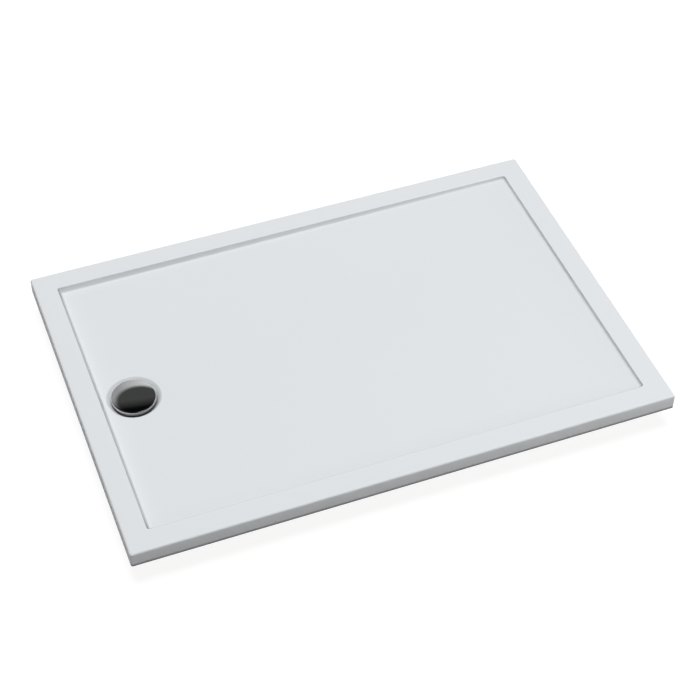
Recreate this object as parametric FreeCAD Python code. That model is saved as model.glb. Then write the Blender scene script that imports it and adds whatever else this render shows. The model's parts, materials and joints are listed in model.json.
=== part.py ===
import FreeCAD, Part
import math
import os

# Shower tray on adjustable feet, with its waste and low trap. Millimetres, +Z up.
# The origin is on the floor, under the middle of the tray. X runs along the long side
# and the waste is near the -X end.

# Tray outline
tray_length = 1300.0
tray_width = 900.0
side_height = 40.0
rim_width = 55.0
rim_height = 100.0
sheet_thickness = 4.0
outer_corner_radius = 5.0
rim_outer_edge_radius = 3.0

# Recess
recess_corner_radius = 6.0
recess_wall_angle = 65.0
recess_edge_radius = 1.5
floor_fillet_radius = 5.0
floor_depth_at_waste = 16.5
floor_fall = 0.008

# Waste position and the dished seat that takes its flange
waste_inset = 135.0
waste_hole_gap = 1.5
seat_radius = 53.0
seat_depth = 11.0
dish_width = 10.5
dish_edge_radius = 5.0
seat_foot_radius = 1.2

# Reinforcement under the acrylic
laminate_thickness = 3.0
laminate_side_height = 26.0
board_thickness = 12.0
laminate_seat_wall = 1.0
board_edge_gap = 1.0
board_cutout_gap = 0.5
batten_width = 36.0
batten_end_gap = 3.0

# Feet
foot_end_inset = 110.0
foot_side_inset = 110.0
stud_radius = 6.0
stud_hole_gap = 1.0
stud_base_step = 2.5
stud_base_thickness = 4.0
stud_top_reach = 2.5
stud_chamfer = 1.0
plate_size = 64.0
plate_thickness = 3.0
plate_corner_radius = 8.0
plate_rib_thickness = 3.0
plate_rib_height = 12.0
boss_wall = 6.0
boss_length = 19.5
nut_across_flats = 18.0
nut_height = 7.0
wrench_across_flats = 17.0
wrench_height = 6.0
wrench_lift = 1.0
pad_rim_width = 3.0
pad_rim_height = 4.0
pad_web = 2.7
pad_socket_wall = 4.0
pad_lip = 2.7
sole_radius = 22.0
sole_thickness = 3.0
sole_stand_out = 1.5
screw_shank_radius = 2.0
screw_head_radius = 4.0
screw_head_height = 2.4
screw_bite = 9.0
screw_edge_inset = 9.0

# Waste flange and its gaskets
upper_gasket_thickness = 1.5
lower_gasket_thickness = 3.0
flange_side_gap = 2.0
flange_thickness = 2.0
flange_bevel = 1.0
seat_lip_width = 13.0
flange_tube_wall = 3.5
flange_tube_length = 22.0
ledge_width = 3.0
ledge_thickness = 2.0
ledge_drop = 16.0

# Cover
cover_gap = 2.0
cover_edge_height = 8.6
cover_rise = 4.5
cover_shoulder_radius = 3.0
cover_wall = 1.3
cover_boss_inset = 8.0
cover_boss_wall = 4.0
holder_ring_margin = 2.0
holder_thickness = 3.7
holder_leg_count = 4
holder_leg_width = 9.0
holder_leg_wall = 2.4
holder_leg_depth = 12.0
holder_lug_reach = 6.0

# Strainer
strainer_side_gap = 3.3
strainer_thickness = 2.0
strainer_slot_count = 16
strainer_slot_width = 3.0
strainer_hub_radius = 9.0
strainer_grip_height = 8.0
strainer_grip_radius = 4.0

# Trap
collar_overhang = 7.0
collar_thickness = 3.0
pot_inset = 4.0
pot_wall = 2.5
pot_bevel = 6.0
pot_floor_z = 8.0
neck_wall = 4.0
neck_length = 10.5
dip_inset = 16.0
dip_wall = 1.8
dip_flange_thickness = 3.0
dip_bottom_z = 17.0
cup_side_gap = 1.0
cup_wall = 1.8
cup_bevel = 3.0
cup_bottom_z = 11.5
cup_rim_z = 46.0
cup_arm_count = 3
cup_arm_width = 4.0
cup_arm_height = 6.0
ring_section = 1.6

# Outlet
pipe_radius = 20.0
pipe_wall = 1.9
outlet_z = 33.5
stub_wall = 3.2
stub_length = 26.0
spigot_overlap = 18.0
seal_length = 4.0
union_wall = 3.0
union_grip = 14.0
union_lip = 3.5
union_rib_count = 12
union_rib_radius = 1.5
elbow_lead = 3.0
elbow_bend_radius = 34.0
elbow_tail = 40.0

# Clearances
moving_gap = 0.3
running_gap = 0.05
seat_gap = 0.1
tiny = 0.01

# Derived places
half_length = tray_length / 2
half_width = tray_width / 2
waste_x = -half_length + waste_inset
rim_z = rim_height
side_bottom_z = rim_z - side_height
floor_z = rim_z - floor_depth_at_waste
seat_z = floor_z - seat_depth
seat_under_z = seat_z - sheet_thickness
board_top_z = floor_z - sheet_thickness - laminate_thickness
board_bottom_z = board_top_z - board_thickness
laminate_seat_z = seat_under_z - laminate_thickness
dish_radius = seat_radius + dish_width
laminate_seat_radius = dish_radius + laminate_seat_wall
board_cutout_radius = laminate_seat_radius + board_cutout_gap
lining = sheet_thickness + laminate_thickness
board_inset = lining + board_edge_gap
throat_radius = seat_radius - seat_lip_width
cover_boss_radius = throat_radius - cover_boss_inset
dip_radius = throat_radius - dip_inset
waste_hole_radius = throat_radius + flange_tube_wall + waste_hole_gap
flange_radius = seat_radius - flange_side_gap
flange_under_z = seat_z + upper_gasket_thickness
flange_top_z = flange_under_z + flange_thickness
ledge_top_z = flange_top_z - ledge_drop
flange_bottom_z = flange_top_z - flange_tube_length
cover_bottom_z = flange_top_z + cover_gap
collar_radius = seat_radius + collar_overhang
pot_radius = collar_radius - pot_inset
cup_radius = throat_radius - ledge_width - cup_side_gap
collar_top_z = laminate_seat_z - lower_gasket_thickness
collar_bottom_z = collar_top_z - collar_thickness
neck_radius = throat_radius + flange_tube_wall + running_gap
dip_flange_z = ledge_top_z + moving_gap
strainer_z = dip_flange_z + dip_flange_thickness + moving_gap
holder_z = flange_top_z + moving_gap
holder_top_z = holder_z + holder_thickness
cover_radius = seat_radius
cover_edge_z = cover_bottom_z + cover_edge_height
cover_dome_radius = (cover_radius ** 2 + cover_rise ** 2) / (2 * cover_rise)
insert_radius = throat_radius - moving_gap
holder_radius = cover_boss_radius + holder_ring_margin
holder_ring_width = cover_boss_wall + 2 * holder_ring_margin
strainer_radius = insert_radius - holder_leg_wall - strainer_side_gap
foot_x = half_length - foot_end_inset
foot_y = half_width - foot_side_inset
foot_places = {
    "left_front": (-foot_x, -foot_y),
    "left_back": (-foot_x, foot_y),
    "right_front": (foot_x, -foot_y),
    "right_back": (foot_x, foot_y),
    "middle": (0.0, 0.0),
}
boss_radius = stud_radius + boss_wall
stud_base_radius = stud_radius + stud_base_step
pad_radius = sole_radius + pad_rim_width
screw_spacing = plate_size - 2 * screw_edge_inset
plate_z = board_bottom_z - plate_thickness
boss_bottom_z = board_bottom_z - boss_length
nut_z = boss_bottom_z - nut_height
pad_under_z = sole_stand_out
socket_floor_z = sole_thickness + pad_web
stud_base_z = socket_floor_z + moving_gap
stud_base_top_z = stud_base_z + stud_base_thickness
socket_roof_z = stud_base_top_z + moving_gap
pad_top_z = socket_roof_z + pad_lip
wrench_z = pad_top_z + wrench_lift
stud_top_z = board_bottom_z + stud_top_reach
bore_radius = stud_radius + running_gap
screw_hole_radius = screw_shank_radius + running_gap
stub_radius = pipe_radius + moving_gap + stub_wall
stub_end_x = waste_x + pot_radius + stub_length
spigot_start_x = stub_end_x - spigot_overlap
seal_end_x = stub_end_x + seal_length
union_start_x = stub_end_x - union_grip
union_end_x = seal_end_x + union_lip
union_radius = stub_radius + running_gap + union_wall
bend_start_x = union_end_x + elbow_lead


def vector(x, y, z):
    return FreeCAD.Vector(x, y, z)


def rounded_rectangle(length, width, radius, z):
    # four corner arcs joined by straight sides, anticlockwise seen from above
    edges = []
    arcs = []
    for quarter, (side_x, side_y) in enumerate([(1, -1), (1, 1), (-1, 1), (-1, -1)]):
        centre_x = side_x * (length / 2 - radius)
        centre_y = side_y * (width / 2 - radius)
        points = []
        for step in range(3):
            angle = math.radians(90 * quarter - 90 + 45 * step)
            x = centre_x + radius * math.cos(angle)
            points.append(vector(x, centre_y + radius * math.sin(angle), z))
        arcs.append(points)
    for points, following in zip(arcs, arcs[1:] + arcs[:1]):
        edges.append(Part.Arc(*points).toShape())
        edges.append(Part.LineSegment(points[-1], following[0]).toShape())
    return Part.Wire(edges)


def slab(length, width, radius, low_z, high_z):
    face = Part.Face(rounded_rectangle(length, width, radius, low_z))
    return face.extrude(vector(0, 0, high_z - low_z))


def box(low, high):
    size = [high[axis] - low[axis] for axis in range(3)]
    return Part.makeBox(size[0], size[1], size[2], vector(*low))


def rod(radius, low_z, high_z, x=0.0, y=0.0):
    return Part.makeCylinder(radius, high_z - low_z, vector(x, y, low_z))


def tube(outer_radius, inner_radius, low_z, high_z, x=0.0, y=0.0):
    return rod(outer_radius, low_z, high_z, x, y).cut(rod(inner_radius, low_z, high_z, x, y))


def bar_x(radius, low_x, high_x):
    # a round bar on the outlet's line
    return Part.makeCylinder(radius, high_x - low_x, vector(low_x, 0, outlet_z), vector(1, 0, 0))


def turned(profile, x=0.0, y=0.0):
    # profile is a list of (radius, z) points, turned round the vertical line at x, y
    points = [vector(x + radius, y, z) for radius, z in profile]
    face = Part.Face(Part.makePolygon(points + [points[0]]))
    return face.revolve(vector(x, y, 0), vector(0, 0, 1), 360)


def hexagon(across_flats, low_z, high_z, x=0.0, y=0.0):
    reach = across_flats / math.sqrt(3)
    corners = []
    for corner in range(7):
        angle = math.radians(60 * corner)
        corners.append(vector(x + reach * math.cos(angle), y + reach * math.sin(angle), low_z))
    return Part.Face(Part.makePolygon(corners)).extrude(vector(0, 0, high_z - low_z))


def floor_height(x, y):
    return floor_z + floor_fall * math.hypot(x - waste_x, y)


def wall_form(offset):
    # everything inside the recess walls, grown by offset, from below the tray to above the rim
    run = 1 / math.tan(math.radians(recess_wall_angle))
    side_offset = offset / math.sin(math.radians(recess_wall_angle))
    wires = []
    for z in (rim_z - side_height, rim_z + sheet_thickness):
        grow = side_offset - rim_width + (z - rim_z) * run
        radius = recess_corner_radius + side_offset
        wires.append(rounded_rectangle(tray_length + 2 * grow, tray_width + 2 * grow, radius, z))
    return Part.makeLoft(wires, True, True)


def recess_form(offset):
    # the recess, grown by offset: sloping walls above a very shallow cone that falls to the waste
    reach = tray_length
    low_z = floor_z - side_height
    centre_z = floor_z - offset
    edge_z = centre_z + floor_fall * reach
    below = turned([(0, low_z), (reach, low_z), (reach, edge_z), (0, centre_z)], waste_x)
    form = wall_form(offset).cut(below)
    foot_edges = []
    for edge in form.Edges:
        middle = edge.valueAt((edge.FirstParameter + edge.LastParameter) / 2)
        if abs(middle.z + offset - floor_height(middle.x, middle.y)) < tiny:
            foot_edges.append(edge)
    return form.makeFillet(floor_fillet_radius + offset, foot_edges)


def edges_at(shape, z, inside_only):
    found = []
    for edge in shape.Edges:
        flat = all(abs(vertex.Z - z) < tiny for vertex in edge.Vertexes)
        inner = all(
            abs(vertex.X) < half_length - rim_width / 2 and abs(vertex.Y) < half_width - rim_width / 2
            for vertex in edge.Vertexes
        )
        if flat and inner == inside_only:
            found.append(edge)
    return found


def shell_plug():
    # the underside of the acrylic, seen as a solid: recess and seat grown by the sheet
    slope = math.atan2(seat_depth, dish_width)
    foot_radius = seat_radius + sheet_thickness * math.tan(slope / 2)
    top_z = floor_z + dish_edge_radius
    top_radius = foot_radius + (top_z - seat_under_z) / math.tan(slope)
    seat = turned([(0, seat_under_z), (foot_radius, seat_under_z), (top_radius, top_z), (0, top_z)], waste_x)
    return recess_form(sheet_thickness).fuse(seat)


def acrylic_shell():
    body = slab(tray_length, tray_width, outer_corner_radius, side_bottom_z, rim_z)
    body = body.makeFillet(rim_outer_edge_radius, edges_at(body, rim_z, False))
    body = body.cut(recess_form(0.0))
    body = body.makeFillet(recess_edge_radius, edges_at(body, rim_z, True))
    top_radius = dish_radius + dish_edge_radius * dish_width / seat_depth
    top_z = floor_z + dish_edge_radius
    seat = turned([(0, seat_z), (seat_radius, seat_z), (top_radius, top_z), (0, top_z)], waste_x)
    seat_foot = [edge for edge in seat.Edges if edge.BoundBox.ZMax < seat_z + tiny]
    body = body.cut(seat.makeFillet(seat_foot_radius, seat_foot))
    mouth = []
    for edge in body.Edges:
        around = edge.BoundBox
        if abs(around.XLength - 2 * dish_radius) < dish_edge_radius and around.ZMin > floor_z - seat_gap:
            mouth.append(edge)
    body = body.makeFillet(dish_edge_radius, mouth)
    inside = slab(
        tray_length - 2 * sheet_thickness,
        tray_width - 2 * sheet_thickness,
        outer_corner_radius,
        0,
        rim_z - sheet_thickness,
    )
    body = body.cut(inside.cut(shell_plug()))
    return body.cut(rod(waste_hole_radius, 0, rim_z, waste_x))


def reinforcement_laminate():
    # resin and glass sprayed on the underside, levelled off to a flat bed for the board
    body = slab(
        tray_length - 2 * sheet_thickness,
        tray_width - 2 * sheet_thickness,
        outer_corner_radius,
        rim_z - laminate_side_height,
        rim_z - sheet_thickness,
    )
    length = tray_length - 2 * lining
    width = tray_width - 2 * lining
    channel = slab(length, width, outer_corner_radius, board_top_z, rim_z - lining)
    body = body.cut(channel.cut(wall_form(lining)))
    body = body.cut(slab(length, width, outer_corner_radius, 0, board_top_z))
    body = body.fuse(rod(laminate_seat_radius, laminate_seat_z, floor_z - sheet_thickness, waste_x))
    return body.cut(shell_plug()).cut(rod(waste_hole_radius, 0, rim_z, waste_x))


def support_board():
    length = tray_length - 2 * board_inset
    width = tray_width - 2 * board_inset
    board = slab(length, width, outer_corner_radius, board_bottom_z, board_top_z)
    board = board.cut(rod(board_cutout_radius, 0, rim_z, waste_x))
    for x, y in foot_places.values():
        board = board.cut(rod(stud_radius + stud_hole_gap, 0, rim_z, x, y))
        for screw_x, screw_y in screw_points(x, y):
            board = board.cut(rod(screw_hole_radius, 0, board_bottom_z + screw_bite, screw_x, screw_y))
    return board


def edge_battens():
    # timber bars in the hollow under the rim, the short ones butted between the long ones
    x = half_length - board_inset
    y = half_width - board_inset
    end_x = x - batten_end_gap
    top_z = rim_z - lining
    battens = {
        "front": box((-end_x, -y, board_top_z), (end_x, -y + batten_width, top_z)),
        "back": box((-end_x, y - batten_width, board_top_z), (end_x, y, top_z)),
        "left": box((-x, -y + batten_width, board_top_z), (-x + batten_width, y - batten_width, top_z)),
        "right": box((x - batten_width, -y + batten_width, board_top_z), (x, y - batten_width, top_z)),
    }
    return battens


def screw_points(x, y):
    half = screw_spacing / 2
    return [(x + sx * half, y + sy * half) for sx in (-1, 1) for sy in (-1, 1)]


def foot_plate(x, y):
    plate = slab(plate_size, plate_size, plate_corner_radius, plate_z, board_bottom_z)
    plate = plate.fuse(rod(boss_radius, boss_bottom_z, board_bottom_z))
    reach = plate_size / 2 - plate_corner_radius
    rib_points = [(0, plate_z), (reach, plate_z), (boss_radius, plate_z - plate_rib_height)]
    rib_points.append((0, plate_z - plate_rib_height))
    corners = [vector(px, -plate_rib_thickness / 2, pz) for px, pz in rib_points + rib_points[:1]]
    rib = Part.Face(Part.makePolygon(corners)).extrude(vector(0, plate_rib_thickness, 0))
    for quarter in range(4):
        turned_rib = rib.copy()
        turned_rib.rotate(vector(0, 0, 0), vector(0, 0, 1), 90 * quarter)
        plate = plate.fuse(turned_rib)
    plate = plate.cut(rod(bore_radius, 0, rim_z))
    for screw_x, screw_y in screw_points(0, 0):
        plate = plate.cut(rod(screw_hole_radius, 0, rim_z, screw_x, screw_y))
    plate = plate.removeSplitter()
    plate.translate(vector(x, y, 0))
    return plate


def foot_plate_screws():
    screws = []
    for x, y in foot_places.values():
        for screw_x, screw_y in screw_points(x, y):
            shank = rod(screw_shank_radius, plate_z, board_bottom_z + screw_bite, screw_x, screw_y)
            head = rod(screw_head_radius, plate_z - screw_head_height, plate_z, screw_x, screw_y)
            screws.append(shank.fuse(head).removeSplitter())
    return Part.makeCompound(screws)


def foot_lock_nuts():
    nuts = []
    for x, y in foot_places.values():
        nut = hexagon(nut_across_flats, nut_z, boss_bottom_z, x, y)
        nuts.append(nut.cut(rod(bore_radius, nut_z, boss_bottom_z, x, y)))
    return Part.makeCompound(nuts)


def foot_stud(x, y):
    profile = [
        (0, stud_base_z),
        (stud_base_radius, stud_base_z),
        (stud_base_radius, stud_base_top_z),
        (stud_radius, stud_base_top_z),
        (stud_radius, stud_top_z - stud_chamfer),
        (stud_radius - stud_chamfer, stud_top_z),
        (0, stud_top_z),
    ]
    wrench = hexagon(wrench_across_flats, wrench_z, wrench_z + wrench_height, x, y)
    return turned(profile, x, y).fuse(wrench).removeSplitter()


def foot_pad(x, y):
    socket_radius = stud_base_radius + moving_gap
    outer_radius = socket_radius + pad_socket_wall
    recess_radius = sole_radius + running_gap
    profile = [
        (0, sole_thickness),
        (recess_radius, sole_thickness),
        (recess_radius, pad_under_z),
        (pad_radius, pad_under_z),
        (pad_radius, pad_under_z + pad_rim_height),
        (outer_radius, socket_floor_z + pad_web),
        (outer_radius, pad_top_z),
        (stud_radius + moving_gap, pad_top_z),
        (stud_radius + moving_gap, socket_roof_z),
        (socket_radius, socket_roof_z),
        (socket_radius, socket_floor_z),
        (0, socket_floor_z),
    ]
    return turned(profile, x, y)


def foot_sole(x, y):
    return rod(sole_radius, 0, sole_thickness, x, y)


def waste_flange():
    tube_radius = throat_radius + flange_tube_wall
    profile = [
        (throat_radius, flange_top_z - flange_bevel),
        (throat_radius + flange_bevel, flange_top_z),
        (flange_radius - flange_bevel, flange_top_z),
        (flange_radius, flange_top_z - flange_bevel),
        (flange_radius, flange_under_z),
        (tube_radius, flange_under_z),
        (tube_radius, flange_bottom_z),
        (throat_radius, flange_bottom_z),
        (throat_radius, ledge_top_z - ledge_thickness - ledge_width),
        (throat_radius - ledge_width, ledge_top_z - ledge_thickness),
        (throat_radius - ledge_width, ledge_top_z),
        (throat_radius, ledge_top_z),
    ]
    return turned(profile, waste_x)


def upper_gasket():
    return tube(flange_radius, waste_hole_radius, seat_z, flange_under_z, waste_x)


def lower_gasket():
    return tube(collar_radius, waste_hole_radius, collar_top_z, laminate_seat_z, waste_x)


def trap_body():
    inner_radius = pot_radius - pot_wall
    neck_outer = neck_radius + neck_wall
    profile = [
        (neck_radius, collar_top_z),
        (collar_radius, collar_top_z),
        (collar_radius, collar_bottom_z),
        (pot_radius, collar_bottom_z),
        (pot_radius, pot_floor_z + pot_bevel),
        (pot_radius - pot_bevel, pot_floor_z),
        (0, pot_floor_z),
        (0, pot_floor_z + pot_wall),
        (inner_radius - pot_bevel, pot_floor_z + pot_wall),
        (inner_radius, pot_floor_z + pot_wall + pot_bevel),
        (inner_radius, collar_bottom_z),
        (neck_outer, collar_bottom_z),
        (neck_outer, collar_top_z - neck_length),
        (neck_radius, collar_top_z - neck_length),
    ]
    pot = turned(profile, waste_x)
    stub_start_x = waste_x + inner_radius - pot_wall
    stub = bar_x(stub_radius, stub_start_x, stub_end_x)
    stub = stub.cut(rod(inner_radius, 0, rim_z, waste_x))
    body = pot.fuse(stub)
    body = body.cut(bar_x(pipe_radius - pipe_wall, waste_x, stub_end_x))
    body = body.cut(bar_x(pipe_radius + moving_gap, spigot_start_x - moving_gap, stub_end_x))
    return body.removeSplitter()


def outlet_seal_ring():
    ring = bar_x(stub_radius - moving_gap, stub_end_x, seal_end_x)
    return ring.cut(bar_x(pipe_radius + running_gap, stub_end_x, seal_end_x))


def outlet_union_nut():
    nut = bar_x(union_radius, union_start_x, union_end_x)
    for index in range(union_rib_count):
        angle = 2 * math.pi * index / union_rib_count
        y = union_radius * math.cos(angle)
        z = outlet_z + union_radius * math.sin(angle)
        length = union_end_x - union_start_x
        start = vector(union_start_x, y, z)
        nut = nut.fuse(Part.makeCylinder(union_rib_radius, length, start, vector(1, 0, 0)))
    nut = nut.cut(bar_x(stub_radius + running_gap, union_start_x, seal_end_x))
    return nut.cut(bar_x(pipe_radius + moving_gap, union_start_x, union_end_x)).removeSplitter()


def elbow_bar(radius):
    # a solid bar along the elbow's centre line: lead, quarter bend and tail
    start = vector(spigot_start_x, 0, outlet_z)
    lead_length = bend_start_x - spigot_start_x
    bend_centre = vector(bend_start_x, elbow_bend_radius, outlet_z)
    section = Part.Face(Part.Wire(Part.makeCircle(radius, start, vector(1, 0, 0))))
    lead = section.extrude(vector(lead_length, 0, 0))
    section.translate(vector(lead_length, 0, 0))
    bend = section.revolve(bend_centre, vector(0, 0, 1), 90)
    section.rotate(bend_centre, vector(0, 0, 1), 90)
    tail = section.extrude(vector(0, elbow_tail, 0))
    return lead.fuse([bend, tail]).removeSplitter()


def outlet_elbow():
    return elbow_bar(pipe_radius).cut(elbow_bar(pipe_radius - pipe_wall))


def dip_tube():
    inner_radius = dip_radius - dip_wall
    top_z = dip_flange_z + dip_flange_thickness
    groove_z = dip_flange_z + (dip_flange_thickness - ring_section) / 2
    profile = [
        (inner_radius, dip_bottom_z),
        (dip_radius, dip_bottom_z),
        (dip_radius, dip_flange_z),
        (insert_radius, dip_flange_z),
        (insert_radius, groove_z),
        (insert_radius - ring_section, groove_z),
        (insert_radius - ring_section, groove_z + ring_section),
        (insert_radius, groove_z + ring_section),
        (insert_radius, top_z),
        (dip_radius + dip_flange_thickness, top_z),
        (inner_radius, dip_flange_z),
    ]
    return turned(profile, waste_x)


def insert_o_ring():
    groove_z = dip_flange_z + (dip_flange_thickness - ring_section) / 2
    outer_radius = throat_radius - seat_gap
    inner_radius = insert_radius - ring_section + running_gap
    low_z = groove_z + running_gap
    return tube(outer_radius, inner_radius, low_z, low_z + ring_section - 2 * running_gap, waste_x)


def seal_cup():
    inner_radius = cup_radius - cup_wall
    profile = [
        (0, cup_bottom_z),
        (cup_radius - cup_bevel, cup_bottom_z),
        (cup_radius, cup_bottom_z + cup_bevel),
        (cup_radius, cup_rim_z),
        (inner_radius, cup_rim_z),
        (inner_radius, cup_bottom_z + cup_bevel),
        (inner_radius - cup_bevel, cup_bottom_z + cup_wall),
        (0, cup_bottom_z + cup_wall),
    ]
    cup = turned(profile, waste_x)
    arm_z = cup_rim_z - cup_arm_height
    hub_radius = dip_radius + running_gap
    cup = cup.fuse(tube(hub_radius + cup_wall, hub_radius, arm_z, cup_rim_z, waste_x))
    for index in range(cup_arm_count):
        arm = box(
            (hub_radius + cup_wall / 2, -cup_arm_width / 2, arm_z),
            (inner_radius + cup_wall / 2, cup_arm_width / 2, cup_rim_z),
        )
        arm.rotate(vector(0, 0, 0), vector(0, 0, 1), 360 / cup_arm_count * index)
        arm.translate(vector(waste_x, 0, 0))
        cup = cup.fuse(arm)
    return cup.removeSplitter()


def hair_strainer():
    disc = rod(strainer_radius, strainer_z, strainer_z + strainer_thickness)
    grip = rod(strainer_grip_radius, strainer_z, strainer_z + strainer_thickness + strainer_grip_height)
    disc = disc.fuse(grip)
    slot = box(
        (strainer_hub_radius, -strainer_slot_width / 2, 0),
        (strainer_radius - strainer_hub_radius / 2, strainer_slot_width / 2, rim_z),
    )
    for index in range(strainer_slot_count):
        cutter = slot.copy()
        cutter.rotate(vector(0, 0, 0), vector(0, 0, 1), 360 / strainer_slot_count * index)
        disc = disc.cut(cutter)
    disc.translate(vector(waste_x, 0, 0))
    return disc.removeSplitter()


def cover_form(shrink):
    # a shallow dome with a rounded shoulder and an upright edge, shrunk by the wall
    top_z = cover_edge_z + cover_rise
    radius = cover_radius - shrink
    dome = Part.makeSphere(cover_dome_radius - shrink, vector(0, 0, top_z - cover_dome_radius))
    form = rod(radius, cover_bottom_z, top_z).common(dome)
    shoulder = []
    for edge in form.Edges:
        around = edge.BoundBox
        if abs(around.XLength - 2 * radius) < tiny and around.ZMin > cover_bottom_z + tiny:
            if around.ZMax - around.ZMin < tiny:
                shoulder.append(edge)
    return form.makeFillet(cover_shoulder_radius - shrink, shoulder)


def waste_cover():
    # the cover's thin wall, and a ring inside that the holder snaps to
    top_z = cover_edge_z + cover_rise
    ring = tube(cover_boss_radius, cover_boss_radius - cover_boss_wall, holder_top_z, top_z)
    cover = cover_form(0.0).cut(cover_form(cover_wall))
    cover = cover.fuse(ring.common(cover_form(0.0))).removeSplitter()
    cover.translate(vector(waste_x, 0, 0))
    return cover


def cover_holder():
    # ring under the cover with arms that rest on the flange and legs that guide it in the throat
    holder = tube(holder_radius, holder_radius - holder_ring_width, holder_z, holder_top_z)
    reach = throat_radius + holder_lug_reach
    guide = tube(insert_radius, insert_radius - holder_leg_wall, holder_z - holder_leg_depth, holder_top_z)
    for index in range(holder_leg_count):
        angle = 360 / holder_leg_count * (index + 0.5)
        arm = box(
            (holder_radius - holder_ring_width / 2, -holder_leg_width / 2, holder_z),
            (reach, holder_leg_width / 2, holder_top_z),
        )
        leg_block = box(
            (holder_radius, -holder_leg_width / 2, holder_z - holder_leg_depth),
            (reach, holder_leg_width / 2, holder_top_z),
        )
        piece = arm.fuse(guide.common(leg_block))
        piece.rotate(vector(0, 0, 0), vector(0, 0, 1), angle)
        holder = holder.fuse(piece)
    holder.translate(vector(waste_x, 0, 0))
    return holder.removeSplitter()


def save(name, shape):
    shape.exportStep("parts/" + name + ".step")
    volume = round(shape.Volume / 1000, 1)
    print(name, "solids", len(shape.Solids), "volume", volume, "cm3", "valid", shape.isValid())


os.makedirs("parts", exist_ok=True)
save("acrylic_shell", acrylic_shell())
save("reinforcement_laminate", reinforcement_laminate())
save("support_board", support_board())
for side, batten in edge_battens().items():
    save("edge_batten_" + side, batten)
save("foot_plate_screws", foot_plate_screws())
save("foot_lock_nuts", foot_lock_nuts())
for place, (x, y) in foot_places.items():
    save("foot_plate_" + place, foot_plate(x, y))
    save("foot_stud_" + place, foot_stud(x, y))
    save("foot_pad_" + place, foot_pad(x, y))
    save("foot_sole_" + place, foot_sole(x, y))
save("waste_flange", waste_flange())
save("upper_gasket", upper_gasket())
save("lower_gasket", lower_gasket())
save("trap_body", trap_body())
save("outlet_seal_ring", outlet_seal_ring())
save("outlet_union_nut", outlet_union_nut())
save("outlet_elbow", outlet_elbow())
save("dip_tube", dip_tube())
save("insert_o_ring", insert_o_ring())
save("seal_cup", seal_cup())
save("hair_strainer", hair_strainer())
save("waste_cover", waste_cover())
save("cover_holder", cover_holder())
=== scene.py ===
import bpy
import bmesh
import json
import math
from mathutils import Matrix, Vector


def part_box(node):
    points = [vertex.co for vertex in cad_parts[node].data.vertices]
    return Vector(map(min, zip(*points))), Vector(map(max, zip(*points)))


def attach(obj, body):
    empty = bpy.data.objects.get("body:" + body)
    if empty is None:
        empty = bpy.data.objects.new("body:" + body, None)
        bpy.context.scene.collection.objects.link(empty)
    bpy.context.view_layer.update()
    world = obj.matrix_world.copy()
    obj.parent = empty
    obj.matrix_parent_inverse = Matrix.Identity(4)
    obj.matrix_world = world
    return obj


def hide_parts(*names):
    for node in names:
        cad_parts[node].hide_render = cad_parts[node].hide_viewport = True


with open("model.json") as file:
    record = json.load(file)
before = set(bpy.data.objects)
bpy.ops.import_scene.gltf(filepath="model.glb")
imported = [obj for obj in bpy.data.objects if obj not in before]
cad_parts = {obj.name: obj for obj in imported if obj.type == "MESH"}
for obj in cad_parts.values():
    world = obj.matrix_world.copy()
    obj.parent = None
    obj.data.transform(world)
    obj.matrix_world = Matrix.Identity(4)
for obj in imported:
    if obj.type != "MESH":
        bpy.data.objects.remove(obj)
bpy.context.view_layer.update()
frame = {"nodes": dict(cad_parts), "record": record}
nodes = frame["nodes"]
mm = 0.001
tiny = 1e-7
origin = (0.0, 0.0)
print("frame loaded with", len(nodes), "nodes")


# Sizes that the dressed pieces take from the frame

def middleOf(node):
    low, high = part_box(node)
    return (low + high) / 2


shellLow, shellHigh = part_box("acrylic_shell")
halfX = shellHigh.x
halfY = shellHigh.y
rimZ = shellHigh.z
sideZ = shellLow.z
wasteX = middleOf("waste_flange").x
coverLow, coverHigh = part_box("waste_cover")
flangeLow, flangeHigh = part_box("waste_flange")


# Mesh helpers

def meshObject(name, bm):
    mesh = bpy.data.meshes.new(name)
    bmesh.ops.recalc_face_normals(bm, faces=bm.faces)
    bm.to_mesh(mesh)
    bm.free()
    piece = bpy.data.objects.new(name, mesh)
    bpy.context.scene.collection.objects.link(piece)
    return piece


def bridgeRings(bm, rings, closed):
    # rings are lists of vertices; a ring of one vertex is a pole
    following = rings[1:] + rings[:1] if closed else rings[1:]
    for first, second in zip(rings, following):
        count = max(len(first), len(second))
        for index in range(count):
            after = (index + 1) % count
            corners = [first[index % len(first)], first[after % len(first)]]
            corners += [second[after % len(second)], second[index % len(second)]]
            unique = list(dict.fromkeys(corners))
            if len(unique) > 2:
                bm.faces.new(unique)


def turnedRing(bm, centre, height, segments, reachAt):
    # a level ring of vertices, whose reach may change with the angle
    ring = []
    for index in range(segments):
        angle = 2 * math.pi * index / segments
        reach = reachAt(angle)
        x, y = centre[0] + reach * math.cos(angle), centre[1] + reach * math.sin(angle)
        ring.append(bm.verts.new((x, y, height)))
    return ring


def latheObject(name, profile, centre, segments):
    # profile is a closed loop of (radius, height), turned about the upright line through centre
    bm = bmesh.new()
    rings = []
    for radius, height in profile:
        count = 1 if radius < tiny else segments
        rings.append(turnedRing(bm, centre, height, count, lambda angle: radius))
    bridgeRings(bm, rings, True)
    return meshObject(name, bm)


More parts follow.
